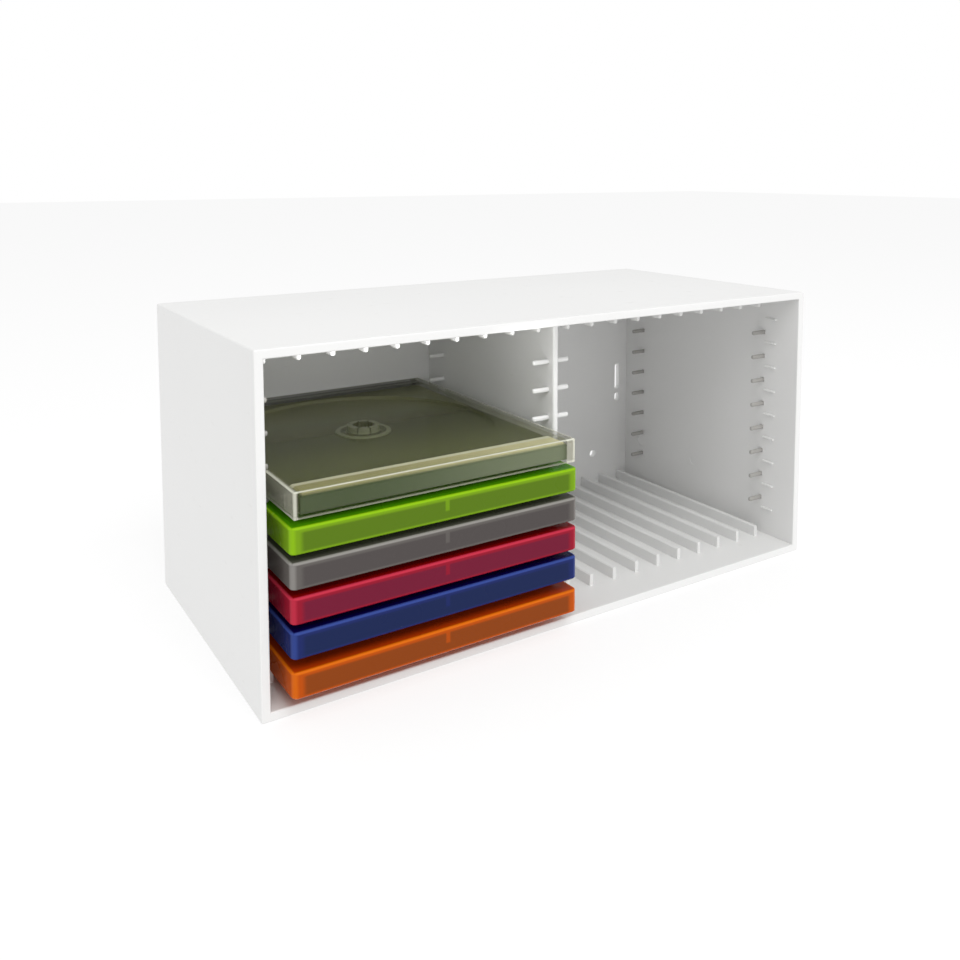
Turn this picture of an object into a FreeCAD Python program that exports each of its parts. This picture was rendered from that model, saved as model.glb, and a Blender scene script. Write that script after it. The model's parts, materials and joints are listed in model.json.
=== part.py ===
import FreeCAD, Part
import os
import re

import Sketcher
from FreeCAD import Placement, Rotation, Vector

# Two-bay storage box for disc cases, with six cases lying in its left bay.
# Frame: millimetres, +Z up, -Y is the open front, +X is to the right.
# Origin: the middle of the box's underside, on the surface that it stands on.

# ---------------------------------------------------------------- driving sizes
SIZES = {
    # outer box
    "box_width": 289.0,
    "box_depth": 139.0,
    "box_height": 137.0,
    "wall": 3.6,
    "edge_radius": 0.9,          # long outer edges
    "rim_radius": 0.6,           # front edges of the four walls
    "back_thickness": 3.2,
    "back_inset": 0.8,           # back panel lies this far inside the rear edges
    "rebate_step": 1.6,          # how far the back panel's edge sits in each wall
    "divider_thickness": 2.8,
    "divider_setback": 18.5,
    "divider_nose": 1.0,         # radius on the divider's front edge
    "housing_depth": 1.0,        # groove that takes the divider's edge
    "fit_gap": 0.1,              # clearance of bonded and pressed joints
    # floor ribs and ceiling pips: they part the cases that stand upright
    "rib_pitch": 14.0,
    "rib_thickness": 2.0,
    "rib_height": 5.6,
    "rib_setback": 19.5,
    "rib_bevel": 0.5,
    "pip_length": 6.0,
    "pip_height": 6.2,
    "pip_front": 23.0,           # middle of the front row, from the front plane
    "pip_rear": 16.0,            # middle of the rear row, from the back panel
    # support pins and wall beads: they carry and guide the cases that lie flat
    "pin_width": 2.0,
    "pin_height": 2.2,
    "pin_reach": 8.6,            # how far a pin stands out of its wall
    "pin_front": 23.0,           # both rows are placed as the pips are
    "pin_rear": 16.0,
    "socket_depth": 2.2,
    "first_row": 22.95,          # height of the lowest pins
    "slot_pitch": 12.9,
    "bead_length": 7.0,
    "bead_thickness": 1.0,
    "bead_proud": 1.0,
    "bead_bevel": 0.3,
    "bead_front": 18.0,
    "bead_rise": 7.6,            # a bead's height above the pins of its slot
    # holes and moulding marks
    "hang_slot_width": 3.6,
    "hang_slot_length": 16.5,
    "hang_slot_height": 69.4,
    "hang_slot_side": 7.5,       # from the bay's right-hand wall
    "vent_length": 5.6,
    "vent_height": 56.4,
    "screw_hole": 4.5,
    "screw_side": 26.6,
    "screw_height": 22.6,
    "mark_diameter": 5.6,
    "mark_depth": 0.3,
    "mark_height": 30.0,
    "mark_middle": 74.0,
    "mark_rear": 15.0,           # from the back panel
    # disc cases
    "case_width": 125.0,
    "case_length": 142.0,
    "rest_gap": 0.3,             # a case above its seat, and before the back panel
    "clear_height": 10.1,
    "clear_wall": 1.2,
    "clear_gap": 0.15,           # running clearance between lid, tray and base
    "clear_corner": 0.5,
    "hinge_setback": 5.5,
    "hinge_height": 4.8,
    "hinge_pin": 2.0,
    "arm_length": 10.2,
    "arm_slit": 1.0,
    "ear_thickness": 1.5,
    "tab_length": 10.0,
    "tab_width": 1.6,
    "tab_thickness": 0.8,
    "tab_spread": 70.0,
    "booklet_space": 1.5,
    "tray_height": 6.3,
    "tray_skin": 1.0,
    "spine_bar_width": 14.0,
    "spine_bar_bevel": 1.6,
    "recess_margin": 0.8,        # between the disc recess and the tray's side
    "recess_depth": 1.6,
    "hub_setback": 77.3,         # hub's middle, from the spine edge
    "hub_ring": 25.0,
    "hub_ring_bore": 20.0,
    "hub_ring_height": 0.6,
    "hub_diameter": 15.0,
    "hub_bore": 9.0,
    "hub_height": 2.6,
    "hub_slit": 0.9,
    "tint_width": 128.0,
    "tint_height": 10.0,
    "tint_wall": 1.6,
    "tint_corner": 2.5,
    "tint_round": 0.7,           # round top edge
    "tint_bevel": 0.5,           # bevelled bottom edge
    "cover_thickness": 1.6,
    "cover_lip": 1.4,
    "lip_thickness": 0.9,
    "spine_rib": 1.6,
    "disc_seat": 2.4,            # the seat's height over a tinted case's floor
}
PIN_ROWS = 8
BEAD_ROWS = 9
HUB_SLITS = 8
TINTED_CASES = ("orange", "blue", "red", "smoke", "green")      # from the floor up

# ---------------------------------------------------------- places worked out
BAY = "((box_width - 2 * wall - divider_thickness) / 2)"
BAY_PITCH = f"({BAY} + divider_thickness)"
BAY_CENTRE = f"({BAY_PITCH} / 2)"
FRONT = "(-box_depth / 2)"
BACK_FACE = "(box_depth / 2 - back_inset - back_thickness)"
INNER_DEPTH = f"({BACK_FACE} - {FRONT})"
PIN_ROW_RUN = f"({INNER_DEPTH} - pin_front - pin_rear)"
CEILING = "(box_height - wall)"
SIDE_FACE = "(box_width / 2 - wall)"
PIN_SOCKET = ("(pin_width + fit_gap)", "(pin_height + fit_gap)")
CASE_Y = f"({BACK_FACE} - rest_gap - case_length / 2)"
LID_FACE = "(clear_height - clear_wall)"
LID_SKIRT = "(clear_wall + clear_gap)"
TRAY_WIDTH = "(case_width - 2 * clear_wall - 2 * clear_gap)"
TRAY_LENGTH = "(case_length - arm_length - clear_wall - 2 * clear_gap)"
TRAY_Y = "((arm_length - clear_wall) / 2)"
EAR_X = "(case_width / 2 - clear_wall - clear_gap - ear_thickness / 2)"
SPINE_WIDTH = "(case_width - 2 * (clear_wall + clear_gap + ear_thickness + clear_gap))"
HUB_Y = "(hub_setback - case_length / 2)"
SHELL_HEIGHT = "(tint_height - cover_thickness)"

doc = FreeCAD.newDocument("disc_case_box")
sheet = doc.addObject("Spreadsheet::Sheet", "Sizes")
for row, (size_name, size_value) in enumerate(SIZES.items(), start=1):
    sheet.set(f"A{row}", size_name)
    sheet.set(f"B{row}", str(size_value))
    sheet.setAlias(f"B{row}", size_name)
doc.recompute()


def bound(expression):
    """The expression with every size name pointing at its cell in the sheet."""
    def cell(match):
        word = match.group()
        return "Sizes." + word if word in SIZES else word
    return re.sub(r"[a-z_]+", cell, expression)


def number(expression):
    """What the expression comes to with the sheet's present values."""
    return float(sheet.evalExpression(bound(expression)))


# As many ribs as a bay takes, spaced evenly about its middle.
RIB_COUNT = 1 + int(number(f"({BAY} - rib_thickness) / rib_pitch"))
FIRST_RIB = f"(-{BAY_CENTRE} - {RIB_COUNT - 1} / 2 * rib_pitch)"


# ------------------------------------------------------------ sketch helpers
def new_body(label, x="0", y="0", z="0"):
    body = doc.addObject("PartDesign::Body", label)
    body.Label = label
    for axis, place in (("x", x), ("y", y), ("z", z)):
        body.setExpression(f"Placement.Base.{axis}", bound(place))
    return body


def origin_feature(body, role):
    return next(item for item in body.Origin.OriginFeatures if item.Role == role)


def new_sketch(body, name, plane, x="0", y="0", z="0", turn=0.0):
    """A sketch on an origin plane, moved by x, y in the plane and z off it."""
    sketch = body.newObject("Sketcher::SketchObject", f"{body.Name}_{name}")
    sketch.AttachmentSupport = [(origin_feature(body, plane), "")]
    sketch.MapMode = "FlatFace"
    sketch.AttachmentOffset = Placement(Vector(), Rotation(Vector(0, 0, 1), turn))
    for axis, place in (("x", x), ("y", y), ("z", z)):
        sketch.setExpression(f"AttachmentOffset.Base.{axis}", bound(place))
    return sketch


def measure(sketch, kind, where, expression):
    """A dimension whose value is bound to the sheet."""
    index = sketch.addConstraint(Sketcher.Constraint(kind, *where, number(expression)))
    sketch.setExpression(f"Constraints[{index}]", bound(expression))


def line(sketch, start, end):
    return sketch.addGeometry(Part.LineSegment(Vector(*start, 0), Vector(*end, 0)))


def arc(sketch, centre, radius, first, last):
    circle = Part.Circle(Vector(*centre, 0), Vector(0, 0, 1), radius)
    first_angle = FreeCAD.Units.Quantity(f"{first} deg").getValueAs("rad").Value
    last_angle = FreeCAD.Units.Quantity(f"{last} deg").getValueAs("rad").Value
    return sketch.addGeometry(Part.ArcOfCircle(circle, first_angle, last_angle))


def join(sketch, pairs, kind="Coincident"):
    for pair in pairs:
        sketch.addConstraint(Sketcher.Constraint(kind, *pair))


def draw_rectangle(sketch, width, height):
    """A rectangle round the sketch's origin."""
    x = number(width) / 2
    y = number(height) / 2
    corners = [(-x, -y), (x, -y), (x, y), (-x, y)]
    sides = [line(sketch, corners[i], corners[(i + 1) % 4]) for i in range(4)]
    join(sketch, [(sides[i], 2, sides[(i + 1) % 4], 1) for i in range(4)])
    join(sketch, [(sides[0],), (sides[2],)], "Horizontal")
    join(sketch, [(sides[1],), (sides[3],)], "Vertical")
    join(sketch, [(sides[0], 1, sides[2], 1, -1, 1)], "Symmetric")
    measure(sketch, "DistanceX", (sides[0], 1, sides[0], 2), width)
    measure(sketch, "DistanceY", (sides[1], 1, sides[1], 2), height)
    return sketch


def draw_rounded_rectangle(sketch, width, height, radius):
    """A rectangle round the sketch's origin, with four equal round corners."""
    x = number(width) / 2
    y = number(height) / 2
    r = number(radius)
    sides = [
        line(sketch, (r - x, -y), (x - r, -y)),
        line(sketch, (x, r - y), (x, y - r)),
        line(sketch, (x - r, y), (r - x, y)),
        line(sketch, (-x, y - r), (-x, r - y)),
    ]
    arcs = [
        arc(sketch, (x - r, r - y), r, 270, 360),
        arc(sketch, (x - r, y - r), r, 0, 90),
        arc(sketch, (r - x, y - r), r, 90, 180),
        arc(sketch, (r - x, r - y), r, 180, 270),
    ]
    join(sketch, [(sides[i], 2, arcs[i], 1) for i in range(4)], "Tangent")
    join(sketch, [(arcs[i], 2, sides[(i + 1) % 4], 1) for i in range(4)], "Tangent")
    join(sketch, [(sides[0],), (sides[2],)], "Horizontal")
    join(sketch, [(sides[1],)], "Vertical")
    join(sketch, [(arcs[0], arcs[i]) for i in range(1, 4)], "Equal")
    join(sketch, [(arcs[0], 3, arcs[2], 3, -1, 1)], "Symmetric")
    measure(sketch, "Radius", (arcs[0],), radius)
    measure(sketch, "DistanceX", (arcs[3], 3, arcs[0], 3), f"{width} - 2 * {radius}")
    measure(sketch, "DistanceY", (arcs[0], 3, arcs[1], 3), f"{height} - 2 * {radius}")
    return sketch


def draw_circle(sketch, diameter):
    ring = sketch.addGeometry(Part.Circle(Vector(), Vector(0, 0, 1), number(diameter) / 2))
    join(sketch, [(ring, 3, -1, 1)])
    measure(sketch, "Diameter", (ring,), diameter)
    return sketch


def draw_slot(sketch, width, length):
    """An upright slot with round ends, round the sketch's origin."""
    r = number(width) / 2
    half = number(length) / 2 - r
    right = line(sketch, (r, -half), (r, half))
    left = line(sketch, (-r, half), (-r, -half))
    top = arc(sketch, (0, half), r, 0, 180)
    bottom = arc(sketch, (0, -half), r, 180, 360)
    corners = [(right, 2, top, 1), (top, 2, left, 1), (left, 2, bottom, 1), (bottom, 2, right, 1)]
    join(sketch, corners, "Tangent")
    join(sketch, [(right,)], "Vertical")
    join(sketch, [(top, 3, bottom, 3, -1, 1)], "Symmetric")
    join(sketch, [(top, bottom)], "Equal")
    measure(sketch, "Radius", (top,), f"{width} / 2")
    measure(sketch, "DistanceY", (bottom, 3, top, 3), f"{length} - {width}")
    return sketch


def draw_bevelled(sketch, width, height, bevel):
    """A rib's section: square foot on the x axis, bevelled crown above it."""
    x = number(width) / 2
    y = number(height)
    b = number(bevel)
    corners = [(-x, 0), (x, 0), (x, y - b), (x - b, y), (b - x, y), (-x, y - b)]
    sides = [line(sketch, corners[i], corners[(i + 1) % 6]) for i in range(6)]
    foot, right, right_bevel, top, left_bevel, left = sides
    join(sketch, [(sides[i], 2, sides[(i + 1) % 6], 1) for i in range(6)])
    join(sketch, [(foot,), (top,)], "Horizontal")
    join(sketch, [(right,), (left,)], "Vertical")
    join(sketch, [(foot, 1, foot, 2, -1, 1)], "Symmetric")
    join(sketch, [(right, left), (right_bevel, left_bevel)], "Equal")
    measure(sketch, "DistanceX", (foot, 1, foot, 2), width)
    measure(sketch, "DistanceY", (foot, 1, top, 1), height)
    measure(sketch, "DistanceX", (right_bevel, 2, right_bevel, 1), bevel)
    measure(sketch, "DistanceY", (right_bevel, 1, right_bevel, 2), bevel)
    return sketch


def draw_mitred(sketch, length, thickness, radius):
    """A wall's section: outer face on the x axis, mitred ends, round outer edges."""
    half = number(length) / 2
    deep = number(thickness)
    r = number(radius)
    reach = r * (1 - 0.5 ** 0.5)
    outer = line(sketch, (half - r, 0), (r - half, 0))
    left_arc = arc(sketch, (r - half, -r), r, 90, 135)
    left_mitre = line(sketch, (reach - half, -reach), (deep - half, -deep))
    inner = line(sketch, (deep - half, -deep), (half - deep, -deep))
    right_mitre = line(sketch, (half - deep, -deep), (half - reach, -reach))
    right_arc = arc(sketch, (half - r, -r), r, 45, 90)
    join(sketch, [(outer, 2, left_arc, 1), (right_arc, 2, outer, 1)], "Tangent")
    corners = [(left_arc, 2, left_mitre, 1), (left_mitre, 2, inner, 1)]
    corners += [(inner, 2, right_mitre, 1), (right_mitre, 2, right_arc, 1)]
    join(sketch, corners)
    join(sketch, [(left_arc, 3, left_mitre), (right_arc, 3, right_mitre)], "PointOnObject")
    join(sketch, [(outer, 1, outer, 2, -1, 1)], "Symmetric")
    join(sketch, [(outer,), (inner,)], "Horizontal")
    join(sketch, [(left_arc, right_arc)], "Equal")
    measure(sketch, "Radius", (right_arc,), radius)
    measure(sketch, "DistanceX", (outer, 2, outer, 1), f"{length} - 2 * {radius}")
    measure(sketch, "DistanceX", (inner, 1, inner, 2), f"{length} - 2 * {thickness}")
    measure(sketch, "DistanceY", (inner, 1, outer, 1), thickness)
    return sketch


# ----------------------------------------------------------- feature helpers
def extrude(kind, body, sketch, length, flip=False, both=False):
    feature = body.newObject(f"PartDesign::{kind}", f"{sketch.Name}_{kind.lower()}")
    feature.Profile = sketch
    feature.setExpression("Length", bound(length))
    feature.Reversed = flip
    if both:
        feature.SideType = "Symmetric"
    doc.recompute()
    return feature


def pad(body, sketch, length, flip=False, both=False):
    return extrude("Pad", body, sketch, length, flip, both)


def pocket(body, sketch, length, flip=False, both=False):
    return extrude("Pocket", body, sketch, length, flip, both)


def repeat(body, feature, *rows):
    """Copies in one or two straight rows, each given as (axis, pitch, count)."""
    pattern = body.newObject("PartDesign::LinearPattern", f"{feature.Name}_rows")
    pattern.Originals = [feature]
    for suffix, (axis, pitch, count) in zip(("", "2"), rows):
        setattr(pattern, "Direction" + suffix, (origin_feature(body, axis), [""]))
        setattr(pattern, "Mode" + suffix, "Extent")
        setattr(pattern, "Occurrences" + suffix, count)
        pattern.setExpression("Length" + suffix, bound(f"({pitch}) * {count - 1}"))
    body.Tip = pattern
    doc.recompute()
    return pattern


def dress(kind, body, keep, size_name, expression):
    """A fillet or chamfer on the edges of the body's tip that keep() accepts."""
    base = body.Tip
    names = [f"Edge{i}" for i, edge in enumerate(base.Shape.Edges, start=1) if keep(edge)]
    if not names:
        raise ValueError(f"{body.Label}: no edge for its {kind.lower()}")
    feature = body.newObject(f"PartDesign::{kind}", f"{base.Name}_{kind.lower()}")
    feature.Base = (base, names)
    feature.setExpression(size_name, bound(expression))
    doc.recompute()
    return feature


def fillet(body, keep, radius):
    return dress("Fillet", body, keep, "Radius", radius)


def in_plane(edge, axis, expression):
    """True when the whole edge lies in the plane where its axis has that value."""
    box = edge.BoundBox
    low = getattr(box, axis + "Min")
    high = getattr(box, axis + "Max")
    return abs(low - number(expression)) < 0.001 and abs(high - number(expression)) < 0.001


def along(edge, axis):
    """True for a straight edge along X, Y or Z."""
    if not isinstance(edge.Curve, Part.Line):
        return False
    return abs(getattr(edge.Curve.Direction, axis.lower())) > 0.999


# --------------------------------------------------------------- box mouldings
def outer_wall(label, length, turn, outer, inner):
    """One mitred wall, with rounded front edges and the rebate for the back.

    outer and inner are the x and z of the middles of its two faces, and turn is
    how far its section is turned from the top wall's.
    """
    wall = new_body(label)
    section = new_sketch(wall, "section", "XZ_Plane", *outer, "box_depth / 2", turn)
    draw_mitred(section, length, "wall", "edge_radius")
    pad(wall, section, "box_depth", flip=True)
    fillet(wall, lambda edge: in_plane(edge, "Y", FRONT) and not mitre_edge(edge), "rim_radius")
    rebate = new_sketch(wall, "rebate", "XZ_Plane", *inner, "-box_depth / 2", turn)
    draw_rectangle(rebate, length, "2 * rebate_step")
    pocket(wall, rebate, "back_thickness + back_inset", flip=True)
    return wall


def mitre_edge(edge):
    """True for an edge that slopes at 45 degrees across a wall's end."""
    if not isinstance(edge.Curve, Part.Line):
        return False
    direction = edge.Curve.Direction
    return abs(direction.x) > 0.1 and abs(direction.z) > 0.1


def add_housing(wall, height):
    """The stopped groove that takes the divider's edge, in a wall's inner face."""
    groove = new_sketch(wall, "housing", "XZ_Plane", y=height, z="box_depth / 2 - divider_setback")
    draw_rectangle(groove, "divider_thickness + 2 * fit_gap", "2 * housing_depth")
    pocket(wall, groove, "box_depth - divider_setback")


def build_base_panel():
    add_housing(outer_wall("base_panel", "box_width", 180, ("0", "0"), ("0", "wall")), "wall")


def build_top_panel():
    top = outer_wall("top_panel", "box_width", 0, ("0", "box_height"), ("0", CEILING))
    add_housing(top, CEILING)


def build_floor_ribs():
    """Both bays' ribs, moulded with the base: upright cases stand between them."""
    ribs = new_body("floor_ribs")
    ribs.AllowCompound = True
    rib = new_sketch(ribs, "rib", "XZ_Plane", x=FIRST_RIB, y="wall",
                     z="box_depth / 2 - rib_setback")
    draw_bevelled(rib, "rib_thickness", "rib_height", "rib_bevel")
    length = f"{BACK_FACE} + box_depth / 2 - rib_setback - fit_gap"
    first = pad(ribs, rib, length, flip=True)
    repeat(ribs, first, ("X_Axis", "rib_pitch", RIB_COUNT), ("X_Axis", BAY_PITCH, 2))


def build_ceiling_pips():
    """Two rows of short ribs, moulded with the top, above the floor's ribs."""
    pips = new_body("ceiling_pips")
    pips.AllowCompound = True
    rows = (("pip_front", "pip_front"), ("pip_rear", f"({INNER_DEPTH} - pip_rear)"))
    for row, setback in rows:
        pip = new_sketch(pips, row, "XZ_Plane", x=FIRST_RIB, y=CEILING,
                         z=f"box_depth / 2 - {setback} + pip_length / 2", turn=180)
        draw_bevelled(pip, "rib_thickness", "pip_height", "rib_bevel")
        first = pad(pips, pip, "pip_length", flip=True)
        repeat(pips, first, ("X_Axis", "rib_pitch", RIB_COUNT), ("X_Axis", BAY_PITCH, 2))


def build_side_panel(label, side):
    """side is -1 for the left wall and 1 for the right one, its mirror image."""
    outward = side > 0
    face = f"{side} * {SIDE_FACE}"
    middle = "box_height / 2"
    wall = outer_wall(label, "box_height", -90 * side, (f"{side} * box_width / 2", middle),
                      (face, middle))
    bead = new_sketch(wall, "bead", "XZ_Plane", x=f"{face} + {side} * wall / 2",
                      y="first_row - slot_pitch + bead_rise",
                      z="box_depth / 2 - bead_front + bead_length / 2", turn=90 * side)
    draw_bevelled(bead, "bead_thickness", "bead_proud + wall / 2", "bead_bevel")
    first = pad(wall, bead, "bead_length", flip=True)
    repeat(wall, first, ("Z_Axis", "slot_pitch", BEAD_ROWS))
    socket = new_sketch(wall, "socket", "YZ_Plane", x=f"{FRONT} + pin_front", y="first_row", z=face)
    draw_rectangle(socket, *PIN_SOCKET)
    first = pocket(wall, socket, "socket_depth", flip=outward)
    repeat(wall, first, ("Z_Axis", "slot_pitch", PIN_ROWS), ("Y_Axis", PIN_ROW_RUN, 2))
    marks = (("mark_middle", "mark_middle"), ("mark_rear", f"({INNER_DEPTH} - mark_rear)"))
    for name, setback in marks:
        mark = new_sketch(wall, name, "YZ_Plane", x=f"{FRONT} + {setback}", y="mark_height",
                          z=face)
        draw_circle(mark, "mark_diameter")
        pocket(wall, mark, "mark_depth", flip=outward)


def build_back_panel():
    back = new_body("back_panel")
    outline = new_sketch(back, "outline", "XZ_Plane", y="box_height / 2", z=f"-{BACK_FACE}")
    seat = "2 * (wall - rebate_step + fit_gap)"
    draw_rectangle(outline, f"(box_width - {seat})", f"(box_height - {seat})")
    pad(back, outline, "back_thickness", flip=True)
    groove = new_sketch(back, "housing", "XZ_Plane", y="box_height / 2", z=f"-{BACK_FACE}")
    draw_rectangle(groove, "divider_thickness + 2 * fit_gap",
                   "box_height - 2 * wall + 2 * housing_depth")
    pocket(back, groove, "housing_depth")
    left_bay_side = "(-divider_thickness / 2 - {})"
    holes = (
        ("hang_slot", "hang_slot_side", "hang_slot_height", "hang_slot_length"),
        ("vent", "hang_slot_side", "vent_height", "vent_length"),
    )
    for name, side, height, length in holes:
        sketch = new_sketch(back, name, "XZ_Plane", x=left_bay_side.format(side), y=height,
                            z=f"-{BACK_FACE}")
        draw_slot(sketch, "hang_slot_width", length)
        first = pocket(back, sketch, "back_thickness")
        repeat(back, first, ("X_Axis", BAY_PITCH, 2))
    screw = new_sketch(back, "screw_hole", "XZ_Plane", x=left_bay_side.format("screw_side"),
                       y="screw_height", z=f"-{BACK_FACE}")
    draw_circle(screw, "screw_hole")
    first = pocket(back, screw, "back_thickness")
    repeat(back, first, ("X_Axis", BAY_PITCH, 2))


def build_divider():
    divider = new_body("centre_divider")
    plan = new_sketch(divider, "plan", "XZ_Plane", y="box_height / 2",
                      z="box_depth / 2 - divider_setback")
    draw_rectangle(plan, "divider_thickness",
                   "(box_height - 2 * wall + 2 * (housing_depth - fit_gap))")
    pad(divider, plan,
        f"{BACK_FACE} + housing_depth - fit_gap + box_depth / 2 - divider_setback", flip=True)
    fillet(divider, lambda edge: along(edge, "Z") and
           in_plane(edge, "Y", f"{FRONT} + divider_setback"), "divider_nose")
    bore = new_sketch(divider, "pin_bore", "YZ_Plane", x=f"{FRONT} + pin_front", y="first_row")
    draw_rectangle(bore, *PIN_SOCKET)
    first = pocket(divider, bore, "2 * divider_thickness", both=True)
    repeat(divider, first,
           ("Z_Axis", "slot_pitch", PIN_ROWS), ("Y_Axis", PIN_ROW_RUN, 2))


def build_pins(label, middle, length):
    """One wall's support pins: two columns of flat-sided pins that lie along X."""
    pins = new_body(label)
    pins.AllowCompound = True
    sketch = new_sketch(pins, "pin", "YZ_Plane", f"{FRONT} + pin_front", "first_row", middle)
    draw_rectangle(sketch, "pin_width", "pin_height")
    first = pad(pins, sketch, length, both=True)
    repeat(pins, first, ("Z_Axis", "slot_pitch", PIN_ROWS), ("Y_Axis", PIN_ROW_RUN, 2))


# ------------------------------------------------------------------ disc cases
def slot_height(slot):
    """Underside of the case in a slot: slot 1 is on the floor ribs, the rest on pins."""
    if slot == 1:
        return "(wall + rib_height + rest_gap)"
    return f"(first_row + {slot - 2} * slot_pitch + pin_height / 2 + rest_gap)"


def case_body(label, slot):
    """A body whose own origin is the middle of its case's underside."""
    return new_body(label, x=f"-{BAY_CENTRE}", y=CASE_Y, z=slot_height(slot))


def add_hub(body, floor, seat):
    """The disc's seat ring and its toothed hub, standing on a floor."""
    ring = new_sketch(body, "seat_ring", "XY_Plane", y=HUB_Y, z=floor)
    draw_circle(ring, "hub_ring")
    pad(body, ring, seat)
    post = new_sketch(body, "hub", "XY_Plane", y=HUB_Y, z=floor)
    draw_circle(post, "hub_diameter")
    pad(body, post, f"{seat} + hub_height")
    bore = new_sketch(body, "hub_bore", "XY_Plane", y=HUB_Y, z=f"{floor} + {seat} + hub_height")
    draw_circle(bore, "hub_bore")
    pocket(body, bore, "hub_height")
    slit = new_sketch(body, "hub_slit", "XY_Plane", y=HUB_Y, z=f"{floor} + {seat} + hub_height")
    draw_rectangle(slit, "hub_slit", "hub_diameter + hub_slit")
    first = pocket(body, slit, "hub_height")
    pattern = body.newObject("PartDesign::PolarPattern", f"{first.Name}_turns")
    pattern.Originals = [first]
    pattern.Axis = (slit, ["N_Axis"])
    pattern.Angle = 180
    pattern.Mode = "Spacing"
    pattern.Offset = 360 / HUB_SLITS
    pattern.Occurrences = HUB_SLITS // 2
    body.Tip = pattern
    doc.recompute()


def build_clear_base(slot):
    """Clear back of the jewel case: plate, spine wall, rear wall and hinge ears."""
    base = case_body("clear_case_base", slot)
    plate = new_sketch(base, "plate", "XY_Plane")
    draw_rounded_rectangle(plate, "case_width", "case_length", "clear_corner")
    pad(base, plate, "clear_wall")
    height = f"{LID_FACE} - clear_gap"
    wall = new_sketch(base, "spine_wall", "XY_Plane", y="(clear_wall - case_length) / 2")
    draw_rectangle(wall, TRAY_WIDTH, "clear_wall")
    first = pad(base, wall, height)
    repeat(base, first, ("Y_Axis", "case_length - clear_wall", 2))
    ear = new_sketch(base, "ear", "XY_Plane", x=f"-{EAR_X}", y="(arm_length - case_length) / 2")
    draw_rectangle(ear, "ear_thickness", "arm_length")
    first = pad(base, ear, height)
    repeat(base, first, ("X_Axis", f"2 * {EAR_X}", 2))
    hole = new_sketch(base, "hinge_hole", "YZ_Plane", x="hinge_setback - case_length / 2",
                      y="hinge_height")
    draw_circle(hole, "(hinge_pin + 2 * clear_gap)")
    pocket(base, hole, "2 * case_width", both=True)


def build_clear_lid(slot):
    """Clear lid: plate, two side skirts with hinge arms and pins, booklet tabs."""
    lid = case_body("clear_case_lid", slot)
    block = new_sketch(lid, "outline", "XY_Plane", z=LID_SKIRT)
    draw_rounded_rectangle(block, "case_width", "case_length", "clear_corner")
    pad(lid, block, f"clear_height - {LID_SKIRT}")
    fillet(lid, lambda edge: in_plane(edge, "Z", "clear_height"), "clear_corner")
    hollow = new_sketch(lid, "hollow", "XY_Plane", z=LID_SKIRT)
    draw_rectangle(hollow, "case_width - 2 * clear_wall", "2 * case_length")
    pocket(lid, hollow, f"{LID_FACE} - {LID_SKIRT}", flip=True)
    slit = new_sketch(lid, "arm_slit", "YZ_Plane", y=f"{LID_SKIRT} + hinge_height / 2",
                      x="arm_length + arm_slit / 2 - case_length / 2")
    draw_rectangle(slit, "arm_slit", "(hinge_height + 2 * clear_gap)")
    pocket(lid, slit, "2 * case_width", both=True)
    for side in (-1, 1):
        pin = new_sketch(lid, f"hinge_pin_{side + 1}", "YZ_Plane", y="hinge_height",
                         x="hinge_setback - case_length / 2",
                         z=f"{side} * (case_width / 2 - clear_wall)")
        draw_circle(pin, "hinge_pin")
        pad(lid, pin, "clear_gap + ear_thickness", flip=side > 0)
    tab = new_sketch(lid, "booklet_tab", "XY_Plane", y="-tab_spread / 2",
                     x="(clear_wall + tab_width / 2 - case_width / 2)",
                     z=f"{LID_FACE} - booklet_space - tab_thickness")
    draw_rectangle(tab, "tab_width", "tab_length")
    first = pad(lid, tab, "tab_thickness")
    repeat(lid, first, ("X_Axis", "case_width - 2 * clear_wall - tab_width", 2),
           ("Y_Axis", "tab_spread", 2))


def build_clear_tray(slot):
    """Smoke-tinted tray: hollow block, dished disc recess, hub and spine bar."""
    tray = case_body("clear_case_tray", slot)
    block = new_sketch(tray, "block", "XY_Plane", y=TRAY_Y, z="clear_wall")
    draw_rectangle(block, TRAY_WIDTH, TRAY_LENGTH)
    pad(tray, block, "tray_height - clear_wall")
    hollow = new_sketch(tray, "hollow", "XY_Plane", y=TRAY_Y, z="clear_wall")
    draw_rectangle(hollow, f"{TRAY_WIDTH} - 2 * tray_skin", f"{TRAY_LENGTH} - 2 * tray_skin")
    pocket(tray, hollow, "tray_height - clear_wall - tray_skin", flip=True)
    spine_length = "(arm_length - clear_wall + tray_skin)"
    spine = new_sketch(tray, "spine_block", "XY_Plane", z="clear_wall",
                       y=f"clear_wall + clear_gap + {spine_length} / 2 - case_length / 2")
    draw_rectangle(spine, SPINE_WIDTH, spine_length)
    pad(tray, spine, "tray_height - clear_wall")
    dish_floor = "(tray_height - recess_depth)"
    dish = new_sketch(tray, "dish", "XY_Plane", y=HUB_Y, z=f"{dish_floor} - tray_skin")
    draw_circle(dish, TRAY_WIDTH)
    pad(tray, dish, "recess_depth + tray_skin")
    recess = new_sketch(tray, "recess", "XY_Plane", y=HUB_Y, z="tray_height")
    draw_circle(recess, f"({TRAY_WIDTH} - 2 * recess_margin)")
    pocket(tray, recess, "recess_depth")
    bar = new_sketch(tray, "spine_bar", "XY_Plane", z="tray_height - tray_skin",
                     y="clear_wall + clear_gap + spine_bar_width / 2 - case_length / 2")
    draw_rectangle(bar, SPINE_WIDTH, "spine_bar_width")
    bar_top = f"{LID_FACE} - rest_gap"
    pad(tray, bar, f"{bar_top} - tray_height + tray_skin")
    dress("Chamfer", tray, lambda edge: in_plane(edge, "Z", bar_top), "Size", "spine_bar_bevel")
    add_hub(tray, dish_floor, "hub_ring_height")


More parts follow.
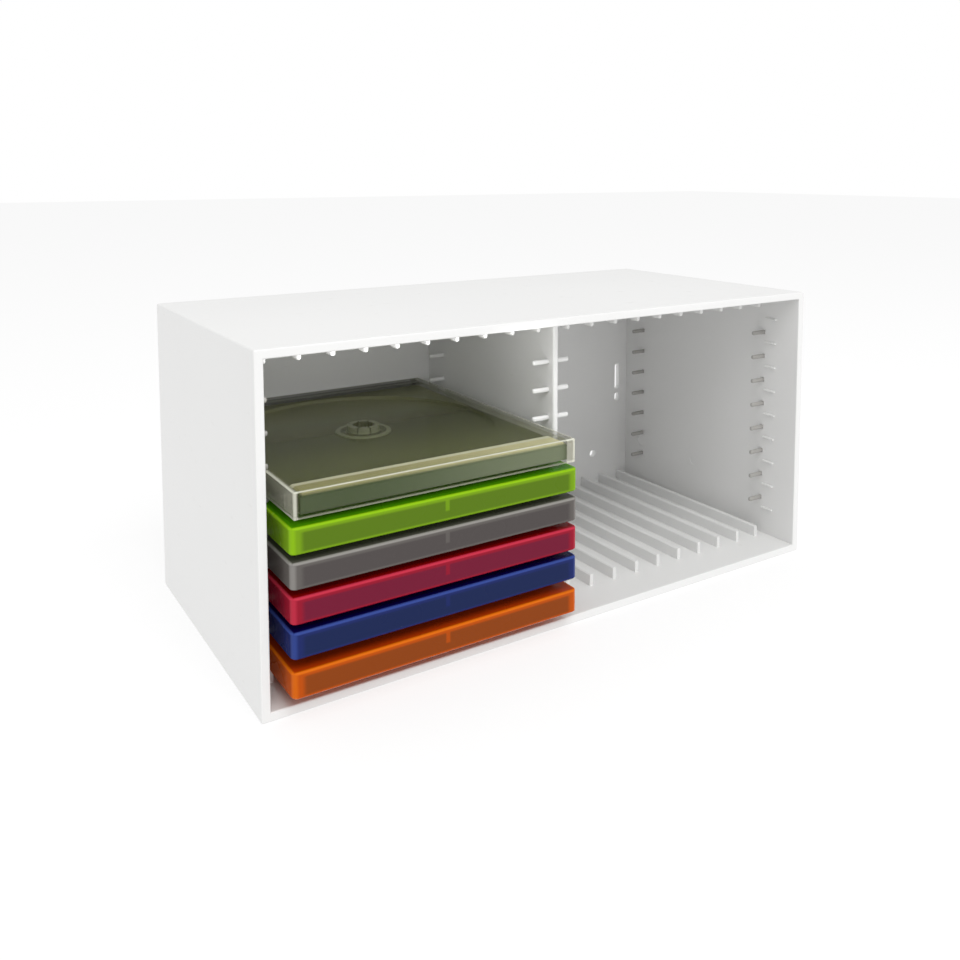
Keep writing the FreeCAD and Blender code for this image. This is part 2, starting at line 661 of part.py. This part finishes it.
def build_tinted_shell(colour, slot):
    """Lower half of a tinted case: square-sided tray with a spine rib and a hub."""
    shell = case_body(f"{colour}_case_shell", slot)
    outline = new_sketch(shell, "outline", "XY_Plane")
    draw_rounded_rectangle(outline, "tint_width", "case_length", "tint_corner")
    pad(shell, outline, SHELL_HEIGHT)
    dress("Chamfer", shell, lambda edge: in_plane(edge, "Z", "0"), "Size", "tint_bevel")
    hollow = new_sketch(shell, "hollow", "XY_Plane", z=SHELL_HEIGHT)
    draw_rectangle(hollow, "(tint_width - 2 * tint_wall)", "(case_length - 2 * tint_wall)")
    pocket(shell, hollow, f"{SHELL_HEIGHT} - tint_wall")
    rib = new_sketch(shell, "spine_rib", "XY_Plane", z="tint_wall / 2",
                     y="tint_wall + spine_rib / 2 - case_length / 2")
    draw_rectangle(rib, "spine_rib", "2 * spine_rib")
    pad(shell, rib, f"{SHELL_HEIGHT} - cover_lip - clear_gap - tint_wall / 2")
    add_hub(shell, "tint_wall", "disc_seat")


def build_tinted_cover(colour, slot):
    """Upper half of a tinted case: plate whose lip drops inside the shell."""
    cover = case_body(f"{colour}_case_cover", slot)
    plate = new_sketch(cover, "plate", "XY_Plane", z=SHELL_HEIGHT)
    draw_rounded_rectangle(plate, "tint_width", "case_length", "tint_corner")
    pad(cover, plate, "cover_thickness")
    fillet(cover, lambda edge: in_plane(edge, "Z", "tint_height"), "tint_round")
    lip = new_sketch(cover, "lip", "XY_Plane", z=SHELL_HEIGHT)
    for inset in ("(tint_wall + clear_gap)", "(tint_wall + clear_gap + lip_thickness)"):
        draw_rectangle(lip, f"(tint_width - 2 * {inset})", f"(case_length - 2 * {inset})")
    pad(cover, lip, "cover_lip", flip=True)


# ------------------------------------------------------- build, check and write
def build_all():
    build_base_panel()
    build_floor_ribs()
    build_top_panel()
    build_ceiling_pips()
    build_side_panel("left_side_panel", -1)
    build_side_panel("right_side_panel", 1)
    build_back_panel()
    build_divider()
    buried = "socket_depth - fit_gap"
    middle = f"({SIDE_FACE} + ({buried} - pin_reach) / 2)"
    build_pins("left_wall_pins", f"-{middle}", f"pin_reach + {buried}")
    build_pins("right_wall_pins", middle, f"pin_reach + {buried}")
    build_pins("divider_pins", "0", "divider_thickness + 2 * pin_reach")
    for slot, colour in enumerate(TINTED_CASES, start=1):
        build_tinted_shell(colour, slot)
        build_tinted_cover(colour, slot)
    clear_slot = len(TINTED_CASES) + 1
    build_clear_base(clear_slot)
    build_clear_tray(clear_slot)
    build_clear_lid(clear_slot)
    doc.recompute()


def check_features():
    """Stops on a failed object, or on a cut or pad that changed nothing."""
    for item in doc.Objects:
        if {"Invalid", "Error"} & set(item.State):
            raise RuntimeError(f"{item.Name}: {item.State}")
        if item.TypeId in ("PartDesign::Pad", "PartDesign::Pocket") and item.BaseFeature:
            gain = item.Shape.Volume - item.BaseFeature.Shape.Volume
            if item.TypeId == "PartDesign::Pocket":
                gain = -gain
            if gain < 0.01:
                raise RuntimeError(f"{item.Name}: changes nothing ({gain:.3f} mm3)")


def write_parts():
    os.makedirs("parts", exist_ok=True)
    bodies = [item for item in doc.Objects if item.TypeId == "PartDesign::Body"]
    for body in bodies:
        shape = body.Shape
        if shape.isNull() or not shape.isValid():
            raise RuntimeError(f"{body.Label}: bad shape")
    for body in bodies:
        body.Shape.exportStep(f"parts/{body.Label}.step")
        box = body.Shape.BoundBox
        print(f"{body.Label:20s} {len(body.Shape.Solids):3d} solids {body.Shape.Volume:10.1f} mm3"
              f"  z {box.ZMin:7.2f} to {box.ZMax:7.2f}")


build_all()
check_features()
write_parts()
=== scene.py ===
import json
import math

import bpy
from mathutils import Euler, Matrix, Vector


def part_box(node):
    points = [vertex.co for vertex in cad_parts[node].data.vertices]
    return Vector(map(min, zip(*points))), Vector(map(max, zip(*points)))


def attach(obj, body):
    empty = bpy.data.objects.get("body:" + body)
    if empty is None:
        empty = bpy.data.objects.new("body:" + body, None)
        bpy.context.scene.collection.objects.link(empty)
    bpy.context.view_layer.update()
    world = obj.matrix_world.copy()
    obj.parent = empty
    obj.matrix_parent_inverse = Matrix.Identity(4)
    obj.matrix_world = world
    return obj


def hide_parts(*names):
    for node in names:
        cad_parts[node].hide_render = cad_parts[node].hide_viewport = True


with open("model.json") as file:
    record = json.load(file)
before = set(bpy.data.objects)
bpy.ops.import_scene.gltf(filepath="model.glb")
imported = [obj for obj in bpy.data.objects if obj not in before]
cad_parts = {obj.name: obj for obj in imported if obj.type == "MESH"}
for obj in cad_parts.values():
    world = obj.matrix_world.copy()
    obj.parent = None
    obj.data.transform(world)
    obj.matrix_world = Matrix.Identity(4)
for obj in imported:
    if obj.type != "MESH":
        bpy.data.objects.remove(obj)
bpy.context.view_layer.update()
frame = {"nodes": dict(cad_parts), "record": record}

# Disc case box: an open-fronted white box with six disc cases in its left bay.
# Everything is in metres, in the frame's own axes: -Y is the open front, +Z is up.

MM = 0.001
NODES = frame["nodes"]
BOX_NODES = frame["record"]["behaviour"]["bodies"]["box"]


# ------------------------------------------------------------ shader building
# A Mix node's sockets by number, because its names repeat for each kind of data.
MIX_FACTOR, MIX_FIRST, MIX_SECOND = 0, 6, 7
MIX_COLOUR = 2


class Wire:
    """A socket's output. Arithmetic on it adds Math nodes to its graph."""

    def __init__(self, graph, socket):
        self.graph = graph
        self.socket = socket

    def maths(self, operation, first, second=None):
        inputs = {0: first} if second is None else {0: first, 1: second}
        return self.graph.add("ShaderNodeMath", {"operation": operation}, inputs)[0]

    def __add__(self, other):
        return self.maths("ADD", self, other)

    def __radd__(self, other):
        return self.maths("ADD", other, self)

    def __sub__(self, other):
        return self.maths("SUBTRACT", self, other)

    def __rsub__(self, other):
        return self.maths("SUBTRACT", other, self)

    def __mul__(self, other):
        return self.maths("MULTIPLY", self, other)

    def __rmul__(self, other):
        return self.maths("MULTIPLY", other, self)

    def __pow__(self, other):
        return self.maths("POWER", self, other)

    def __abs__(self):
        return self.maths("ABSOLUTE", self)

    def most(self, other):
        """The larger of the two, where masks join."""
        return self.maths("MAXIMUM", self, other)

    def least(self, other):
        """The smaller of the two, where masks overlap."""
        return self.maths("MINIMUM", self, other)


class Graph:
    """One material's nodes. Its x, y and z are the place on the object, in metres."""

    def __init__(self, name):
        self.material = bpy.data.materials.new(name)
        self.material.use_nodes = True
        self.tree = self.material.node_tree
        self.tree.nodes.clear()
        self.out = self.tree.nodes.new("ShaderNodeOutputMaterial")
        self.place = self.add("ShaderNodeTexCoord")["Object"]
        split = self.add("ShaderNodeSeparateXYZ", inputs={0: self.place})
        self.x, self.y, self.z = split["X"], split["Y"], split["Z"]

    def add(self, kind, settings=None, inputs=None):
        """Adds a node and returns its outputs, by number and by name, as wires."""
        node = self.tree.nodes.new(kind)
        for name, value in (settings or {}).items():
            setattr(node, name, value)
        for key, value in (inputs or {}).items():
            if isinstance(value, Wire):
                self.tree.links.new(value.socket, node.inputs[key])
            else:
                node.inputs[key].default_value = value
        outputs = {}
        for index, socket in enumerate(node.outputs):
            outputs[index] = Wire(self, socket)
            outputs.setdefault(socket.name, outputs[index])
        return outputs

    def step(self, value, low, high):
        """0 below low and 1 above high, with a smooth rise between them."""
        return self.add("ShaderNodeMapRange", {"interpolation_type": "SMOOTHSTEP"},
                        {"Value": value, "From Min": low, "From Max": high})["Result"]

    def noise(self, scale, detail=2.0, roughness=0.5, stretch=(1, 1, 1)):
        """Fractal noise on the object's own place; scale is in cells per metre."""
        spread = self.add("ShaderNodeMapping", inputs={"Vector": self.place, "Scale": stretch})
        return self.add("ShaderNodeTexNoise", inputs={
            "Vector": spread["Vector"], "Scale": scale, "Detail": detail,
            "Roughness": roughness})["Fac"]

    def mix(self, factor, first, second):
        """One colour turning into another as the factor goes from 0 to 1."""
        return self.add("ShaderNodeMix", {"data_type": "RGBA"}, {
            MIX_FACTOR: factor, MIX_FIRST: first, MIX_SECOND: second})[MIX_COLOUR]

    def bump(self, height, strength, distance):
        """A fine relief, as the normal that it gives."""
        return self.add("ShaderNodeBump", inputs={
            "Height": height, "Strength": strength, "Distance": distance})["Normal"]

    def finish(self, **sockets):
        """The material's one Principled shader, with the sockets that are given."""
        inputs = {name.replace("_", " "): value for name, value in sockets.items()}
        shader = self.add("ShaderNodeBsdfPrincipled", inputs=inputs)
        self.tree.links.new(shader["BSDF"].socket, self.out.inputs["Surface"])
        return self.material


def colour(red, green, blue):
    """A linear colour from display values of 0 to 255."""
    def linear(value):
        value = value / 255
        return value / 12.92 if value <= 0.04045 else ((value + 0.055) / 1.055) ** 2.4
    return (linear(red), linear(green), linear(blue), 1.0)


# ------------------------------------------------------------------ materials
# A moulding's tones: the darker and lighter flow of the plastic, and its scuffs.
MOULDING_TONES = {
    "white_moulding": ((228, 228, 227), (233, 233, 232), (219, 218, 215)),
    # The second moulding is the same white plastic painted darker, as painted shade on the
    # side walls' pegs.
    "painted_shade_moulding": ((161, 159, 155), (167, 165, 161), (176, 174, 170)),
}

# A tinted case's tones: body, hollow seen through the front (painted darker, as shade), lit
# edge (a painted highlight) and top.
TINT_TONES = {
    "green": ((112, 151, 19), (84, 114, 19), (136, 184, 16), (74, 146, 2)),
    "smoke": ((94, 90, 87), (77, 72, 71), (140, 137, 133), (82, 80, 74)),
    "red": ((143, 19, 42), (109, 22, 48), (188, 46, 68), (140, 2, 2)),
    "blue": ((27, 39, 95), (22, 35, 76), (50, 70, 140), (2, 2, 70)),
    "orange": ((179, 74, 2), (133, 61, 12), (210, 102, 7), (175, 55, 2)),
}
# painted light: TINT_GLOW is a faint glow of the case's own tone, for the light that passes
# through a tinted wall.
TINT_GLOW = 0.045                   # the light that passes through a tinted wall
TINT_RIB = 0.6 * MM                 # half the thickness of the spine's inner rib
TINT_RIB_FOOT = 3.6 * MM            # where that rib starts, above the case's base

# painted highlights: the side and rim tones stand in for light on the clear plastic's edges.
CLEAR_TONES = {
    "flat": colour(122, 126, 84), "side": colour(192, 190, 174),
    "hinge": colour(88, 90, 66), "highlight_rim": colour(218, 219, 204),
}
CLEAR_SIDE = 1.4 * MM               # thickness of the clear case's side walls
# painted light: the right end is painted bright, as the lit inside seen through it.
CLEAR_END = 4.3 * MM                # its bright right end, seen from the front
CLEAR_HINGE = 11.0 * MM             # depth of the strip with its hinge, at the rear

# The tray's tones. Its bar and the bar's crest have one for each end, left first.
# painted light: the rear tone is a painted reflection, the ring, crest and edge tones are
# painted highlights, and the bar's and crest's right-hand tones are lighter as a painted
# reflection.
TRAY_TONES = {
    "front": colour(44, 49, 14), "rear": colour(160, 162, 116),
    "ring": colour(160, 164, 136), "edge": colour(214, 212, 184),
    "bar": (colour(64, 78, 50), colour(116, 125, 100)),
    "lit_crest": (colour(160, 155, 106), colour(208, 202, 156)),
}
TRAY_BAR = 14.0 * MM                # depth of the bevelled bar along the spine
# painted highlight: the bar's rear edge is painted bright.
TRAY_BAR_EDGE = 4.0 * MM            # depth of the bar's bright rear edge
HUB_SETBACK = 77.3 * MM             # hub's middle, from the case's spine
HUB_SEAT = 11.6 * MM                # radius of the ring that a disc rests on
HUB_BOSS = 6.4 * MM                 # radius of the toothed ring inside it


def satin_moulding(name):
    """Satin polystyrene: faint flow shading, fine grain and a few light scuffs."""
    g = Graph(name)
    dark, light, worn = (colour(*tone) for tone in MOULDING_TONES[name])
    cloud = g.noise(9, detail=3)
    grain = g.noise(2400, detail=1)
    scuff = g.step(g.noise(150, detail=4, stretch=(1, 1, 3)), 0.64, 0.82)
    tone = g.mix(scuff * 0.3, g.mix(cloud, dark, light), worn)
    return g.finish(
        Base_Color=tone, Roughness=0.26 + 0.08 * cloud + 0.14 * scuff, IOR=1.5,
        Normal=g.bump(grain + 2.0 * cloud, 0.1, 0.0002))


class CaseFaces:
    """Masks on a case's outside, from its box: distances inwards from each face."""

    def __init__(self, graph, low, high):
        middle = [(a + b) / 2 for a, b in zip(low, high)]
        half = [(b - a) / 2 for a, b in zip(low, high)]
        self.graph = graph
        self.off_middle = abs(graph.x - middle[0])
        self.across = half[0] - self.off_middle
        self.deep = half[1] - abs(graph.y - middle[1])
        self.below_top = high[2] - graph.z
        self.above_base = graph.z - low[2]
        self.upright = graph.step(self.below_top, 0.3 * MM, 0.9 * MM)
        self.front = 1 - graph.step(self.deep, 0.3 * MM, 1.0 * MM)

    def window(self, along, border):
        """The see-through middle of an upright face, soft at its edges."""
        sides = self.graph.step(along, border, border + 2.6 * MM)
        top = self.graph.step(self.below_top, 1.3 * MM, 2.4 * MM)
        base = self.graph.step(self.above_base, 0.5 * MM, 1.5 * MM)
        return sides * top * base


def tinted_plastic(name, tones, low, high):
    """Translucent case: painted highlights where light gathers in its edges and corners,
    painted shade on its duller hollow and a faint painted glow.
    """
    g = Graph(f"{name}_plastic")
    faces = CaseFaces(g, low, high)
    cloud = g.noise(45, detail=2)
    body, window, edge, lid = (colour(*tone) for tone in tones)
    # painted shade: the hollow seen through the front and sides takes the duller window tone.
    hollow_shade = faces.front * faces.window(faces.across, 3.0 * MM)
    side_hollow_shade = (1 - faces.front) * faces.window(faces.deep, 6.0 * MM)
    rib = 1 - g.step(faces.off_middle, TINT_RIB, 2 * TINT_RIB)
    rib = rib * g.step(faces.above_base, TINT_RIB_FOOT, TINT_RIB_FOOT + 0.8 * MM)
    tone = g.mix(hollow_shade * (1 - 0.8 * rib), body, window)
    tone = g.mix(side_hollow_shade * 0.3, tone, window)
    tone = g.mix((1 - faces.upright) * g.step(faces.deep, 0.4 * MM, 1.6 * MM), tone, lid)
    # painted highlight: the top rim and the upright corners take the lit edge tone.
    highlight_rim = 1 - g.step(faces.below_top, 0.5 * MM, 1.1 * MM)
    highlight_rim = highlight_rim * (1 - g.step(faces.deep.least(faces.across), 0.5 * MM, 1.3 * MM))
    highlight_corner = faces.upright * (1 - g.step(faces.across.most(faces.deep), 1.0 * MM, 2.6 * MM))
    tone = g.mix(highlight_rim.most(0.7 * highlight_corner), tone, edge)
    # painted light: the emission makes the case glow faintly in its own tone.
    return g.finish(
        Base_Color=tone, Roughness=0.24 + 0.06 * cloud, IOR=1.45, Specular_IOR_Level=0.12,
        Emission_Color=tone, Emission_Strength=TINT_GLOW,
        Normal=g.bump(g.noise(700, detail=2), 0.05, 0.0002))


def clear_plastic(low, high):
    """Clear lid and base: nearly invisible flats; paler sides and end and whitish rims,
    painted as highlights.
    """
    g = Graph("clear_plastic")
    faces = CaseFaces(g, low, high)
    smear = g.noise(30, detail=2, stretch=(1, 2.2, 1))
    near_side = faces.deep.least(faces.across)
    upright = 1 - g.step(near_side, 0.2 * MM, 1.4 * MM)
    lit_crest = 1 - g.step(faces.below_top, 0.2 * MM, 0.7 * MM)
    foot = 1 - g.step(faces.above_base, 0.5 * MM, 1.1 * MM)
    # painted highlights: the rims, side walls and right end are made paler and less clear.
    highlight_rim = upright * lit_crest.most(0.5 * foot)
    highlight_rim = highlight_rim.most(0.7 * (1 - g.step(faces.across.most(faces.deep), 0.6 * MM, 1.5 * MM)))
    side = 1 - g.step(faces.across, CLEAR_SIDE, CLEAR_SIDE + 0.4 * MM)
    end_start, hinge_start = high[0] - CLEAR_END, high[1] - CLEAR_HINGE
    end = faces.front * g.step(g.x, end_start - 0.5 * MM, end_start)
    hinge = g.step(g.y, hinge_start - 0.6 * MM, hinge_start) * (1 - side)
    glance = g.add("ShaderNodeFresnel", inputs={"IOR": 1.3})[0]
    cover = 0.04 + 0.02 * smear + 0.25 * side + 0.5 * end + 0.35 * hinge
    cover = cover + 0.6 * highlight_rim + 0.15 * glance
    tone = g.mix(side.most(end), CLEAR_TONES["flat"], CLEAR_TONES["side"])
    tone = g.mix(hinge, tone, CLEAR_TONES["hinge"])
    tone = g.mix(highlight_rim, tone, CLEAR_TONES["highlight_rim"])
    return g.finish(
        Base_Color=tone, Roughness=0.05 + 0.05 * smear, IOR=1.5, Alpha=cover.least(0.95))


def smoke_tray(low, high, hub):
    """Smoke-tinted tray with painted light: paler to the rear as a painted reflection, and
    paler on its spine bar and round its hub as painted highlights.
    """
    g = Graph("smoke_tray")
    cloud = g.noise(40, detail=3)
    bar_end = low[1] + TRAY_BAR
    edge_start = bar_end - TRAY_BAR_EDGE
    bar = 1 - g.step(g.y, bar_end - 0.3 * MM, bar_end)
    # painted highlights: the bar's crest and its rear edge are painted bright.
    lit_crest = bar * g.step(g.z, high[2] - 1.2 * MM, high[2] - 0.2 * MM)
    edge = lit_crest * g.step(g.y, edge_start - 0.6 * MM, edge_start)
    radius = ((g.x - hub[0]) ** 2 + (g.y - hub[1]) ** 2) ** 0.5
    seat = 1 - g.step(abs(radius - HUB_SEAT), 0.7 * MM, 1.5 * MM)
    boss = 1 - g.step(abs(radius - HUB_BOSS), 1.0 * MM, 1.8 * MM)
    # painted reflection: the bar lightens to the right and the tray towards the rear.
    rightward_reflection = g.step(g.x, low[0] + 20 * MM, high[0])
    rearward = g.step(g.y, low[1] + 60 * MM, high[1])
    tone = g.mix(0.1 * cloud + 0.9 * rearward, TRAY_TONES["front"], TRAY_TONES["rear"])
    # painted highlights: the hub's rings are painted paler, for the glints on them.
    tone = g.mix(seat.most(boss) * 0.75, tone, TRAY_TONES["ring"])
    tone = g.mix(bar, tone, g.mix(rightward_reflection, *TRAY_TONES["bar"]))
    tone = g.mix(lit_crest, tone, g.mix(rightward_reflection, *TRAY_TONES["lit_crest"]))
    tone = g.mix(edge, tone, TRAY_TONES["edge"])
    return g.finish(
        Base_Color=tone, Roughness=0.2 + 0.06 * cloud, IOR=1.45, Specular_IOR_Level=0.3)


def dress(node, material):
    """Gives a CAD node its one material."""
    mesh = NODES[node].data
    mesh.materials.clear()
    mesh.materials.append(material)


def dress_box(white):
    """White for every node of the box. Its pegs and pips are replaced further on."""
    for node in BOX_NODES:
        dress(node, white)


def dress_cases():
    """Five tinted cases of two nodes, and the clear one with its smoke-tinted tray."""
    for tint, tones in TINT_TONES.items():
        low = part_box(f"{tint}_case_shell")[0]
        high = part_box(f"{tint}_case_cover")[1]
        plastic = tinted_plastic(tint, tones, low, high)
        dress(f"{tint}_case_shell", plastic)
        dress(f"{tint}_case_cover", plastic)
    low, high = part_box("clear_case_base")
    clear = clear_plastic(low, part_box("clear_case_lid")[1])
    dress("clear_case_base", clear)
    dress("clear_case_lid", clear)
    hub = ((low.x + high.x) / 2, low.y + HUB_SETBACK)
    dress("clear_case_tray", smoke_tray(*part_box("clear_case_tray"), hub))


# ------------------------------------------------------ support pegs and pips
PEG_ROWS = 8                        # in each of a wall's two columns
PEG_ZONE = 6 * MM                   # wide enough for the lowest front peg alone
PEG_ROUNDING = 0.85 * MM
PIP_COUNT = 10                      # in each bay and row
PIP_PITCH = 14.0 * MM
PIP_SIZE = Vector((2.0, 6.0, 6.0)) * MM
PIP_ROUNDING = 0.9 * MM
ROUNDING_STEPS = 3


def block_tree():
    """Geometry Nodes: a block of the given size at each point of the mesh."""
    tree = bpy.data.node_groups.new("moulded_blocks", "GeometryNodeTree")
    inputs = (
        ("Places", "NodeSocketGeometry"), ("Block Size", "NodeSocketVector"),
        ("Plastic", "NodeSocketMaterial"),
    )
    for label, kind in inputs:
        tree.interface.new_socket(label, in_out="INPUT", socket_type=kind)
    tree.interface.new_socket("Blocks", in_out="OUTPUT", socket_type="NodeSocketGeometry")
    given = tree.nodes.new("NodeGroupInput").outputs
    block = tree.nodes.new("GeometryNodeMeshCube")
    spread = tree.nodes.new("GeometryNodeInstanceOnPoints")
    solid = tree.nodes.new("GeometryNodeRealizeInstances")
    plastic = tree.nodes.new("GeometryNodeSetMaterial")
    result = tree.nodes.new("NodeGroupOutput")
    links = (
        (given["Block Size"], block.inputs["Size"]),
        (given["Places"], spread.inputs["Points"]),
        (block.outputs["Mesh"], spread.inputs["Instance"]),
        (spread.outputs["Instances"], solid.inputs["Geometry"]),
        (solid.outputs["Geometry"], plastic.inputs["Geometry"]),
        (given["Plastic"], plastic.inputs["Material"]),
        (plastic.outputs["Geometry"], result.inputs["Blocks"]),
    )
    for start, end in links:
        tree.links.new(start, end)
    return tree


def plain_mesh(name, modified):
    """The evaluated result of an object's modifiers, as an object with none."""
    bpy.context.view_layer.update()
    evaluated = modified.evaluated_get(bpy.context.evaluated_depsgraph_get())
    mesh = bpy.data.meshes.new_from_object(evaluated)
    bpy.data.objects.remove(modified)
    piece = bpy.data.objects.new(name, mesh)
    mesh.name = name
    bpy.context.scene.collection.objects.link(piece)
    return piece


def make_blocks(node, tree, places, size, rounding, plastic):
    """Round-edged blocks at the given places, instead of a node's square ones."""
    mesh = bpy.data.meshes.new(f"{node}_places")
    mesh.from_pydata(places, [], [])
    holder = bpy.data.objects.new(f"{node}_maker", mesh)
    bpy.context.scene.collection.objects.link(holder)
    nodes = holder.modifiers.new("blocks", "NODES")
    nodes.node_group = tree
    values = {"Block Size": size, "Plastic": plastic}
    for socket in tree.interface.items_tree:
        if socket.name in values:
            nodes[socket.identifier] = values[socket.name]
    bevel = holder.modifiers.new("rounding", "BEVEL")
    bevel.width = rounding
    bevel.segments = ROUNDING_STEPS
    piece = plain_mesh(f"rounded_{node}", holder)
    piece.data.shade_smooth()
    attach(piece, "box")
    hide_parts(node)


def make_pegs(node, tree, plastic):
    """One wall's pegs, in a front and a rear column, as thick as its lowest one."""
    low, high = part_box(node)
    lowest = [v.co for v in NODES[node].data.vertices
              if v.co.y < low.y + PEG_ZONE and v.co.z < low.z + PEG_ZONE]
    width = max(co.y for co in lowest) - low.y
    height = max(co.z for co in lowest) - low.z
    rise = (high.z - low.z - height) / (PEG_ROWS - 1)
    places = [((low.x + high.x) / 2, y, low.z + height / 2 + row * rise)
              for y in (low.y + width / 2, high.y - width / 2) for row in range(PEG_ROWS)]
    size = Vector((high.x - low.x, width, height))
    make_blocks(node, tree, places, size, PEG_ROUNDING, plastic)


def make_pips(tree, white):
    """Both bays' ceiling pips, with their round tops let into the ceiling."""
    low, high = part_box("ceiling_pips")
    size = PIP_SIZE + Vector((0, 0, PIP_ROUNDING))
    across = [side * (high.x - size.x / 2 - index * PIP_PITCH)
              for side in (-1, 1) for index in range(PIP_COUNT)]
    z = high.z - PIP_SIZE.z + size.z / 2
    places = [(x, y, z) for x in across
              for y in (low.y + size.y / 2, high.y - size.y / 2)]
    make_blocks("ceiling_pips", tree, places, size, PIP_ROUNDING, white)


# ------------------------------------------------------------- studio and view
FOCAL = 35.6053                     # lens and sensor in millimetres
SENSOR = 36.0
SHIFT = (-0.026945, -0.239583)
NEAR_CLIP = 0.01
CAMERA = Vector((-250.109, -391.113, 199.941)) * MM
YAW = math.radians(33.2586)         # to the right, from +Y
PITCH = math.radians(4.8571)        # downwards

SKY = 0.81
STUDIO_REACH = 6.0
BACKDROP_FOOT = -0.12               # its lower edge, under the floor
BLACK = (0, 0, 0, 1)
WHITE = (1, 1, 1, 1)
FLOOR_TONE = (0.3, 0.3, 0.3, 1)
FLOOR_GLOW = 0.7

# Each soft light's name, place, target, size and power. The second one is inside the
# left bay, for the light that its white walls throw back on the cases.
LIGHTS = (
    ("key", (-0.16, -0.96, 1.3), (0, 0, 0.05), (1.0, 0.8), 11.0),
    ("bay_fill", (-0.075, -0.068, 0.122), (-0.06, 0.06, 0.112), (0.11, 0.016), 0.018),
)


def make_camera():
    lens = bpy.data.cameras.new("camera")
    lens.lens = FOCAL
    lens.sensor_width = SENSOR
    lens.shift_x, lens.shift_y = SHIFT
    lens.clip_start = NEAR_CLIP
    camera = bpy.data.objects.new("camera", lens)
    camera.location = CAMERA
    camera.rotation_euler = Euler((math.pi / 2 - PITCH, 0, -YAW))
    bpy.context.scene.collection.objects.link(camera)
    bpy.context.scene.camera = camera


def soft_light(name, place, target, size, power):
    """A rectangular light at its place, turned towards its target."""
    lamp = bpy.data.lights.new(name, "AREA")
    lamp.shape = "RECTANGLE"
    lamp.size, lamp.size_y = size
    lamp.energy = power
    holder = bpy.data.objects.new(name, lamp)
    holder.location = place
    aim = Vector(target) - Vector(place)
    holder.rotation_euler = aim.to_track_quat("-Z", "Y").to_euler()
    bpy.context.scene.collection.objects.link(holder)


def flat_mesh(name, corners, faces):
    """A piece of the studio, which isn't part of the object."""
    mesh = bpy.data.meshes.new(name)
    mesh.from_pydata(corners, [], faces)
    piece = bpy.data.objects.new(name, mesh)
    bpy.context.scene.collection.objects.link(piece)
    return piece


def make_studio():
    """A glowing white floor and backdrop, an even sky and the soft lights."""
    bpy.context.scene.view_settings.view_transform = "Standard"
    world = bpy.data.worlds.new("studio")
    world.use_nodes = True
    ground = world.node_tree.nodes["Background"]
    ground.inputs["Color"].default_value = WHITE
    ground.inputs["Strength"].default_value = SKY
    bpy.context.scene.world = world
    r = STUDIO_REACH
    square = [(-r, -r), (r, -r), (r, r), (-r, r)]
    floor = flat_mesh("studio_floor", [(x, y, 0) for x, y in square], [(0, 1, 2, 3)])
    g = Graph("studio_floor")
    floor.data.materials.append(g.finish(
        Base_Color=FLOOR_TONE, Roughness=0.9, Specular_IOR_Level=0.0,
        Emission_Color=WHITE, Emission_Strength=FLOOR_GLOW))
    corners = [(x, y, z) for z in (BACKDROP_FOOT, r) for x, y in square]
    sides = [(i, (i + 1) % 4, (i + 1) % 4 + 4, i + 4) for i in range(4)]
    drop = flat_mesh("studio_backdrop", corners, sides + [(4, 5, 6, 7)])
    drop.visible_diffuse = False
    drop.visible_glossy = False
    drop.visible_shadow = False
    g = Graph("studio_backdrop")
    drop.data.materials.append(g.finish(
        Base_Color=BLACK, Specular_IOR_Level=0.0, Emission_Color=WHITE,
        Emission_Strength=1.0))
    for light in LIGHTS:
        soft_light(*light)


white = satin_moulding("white_moulding")
dress_box(white)
dress_cases()
blocks = block_tree()
# The side walls' pegs take the white plastic painted darker: painted shade, not a grey
# plastic.
painted_shade = satin_moulding("painted_shade_moulding")
make_pegs("left_wall_pins", blocks, painted_shade)
make_pegs("right_wall_pins", blocks, painted_shade)
make_pegs("divider_pins", blocks, white)
make_pips(blocks, white)
make_camera()
make_studio()
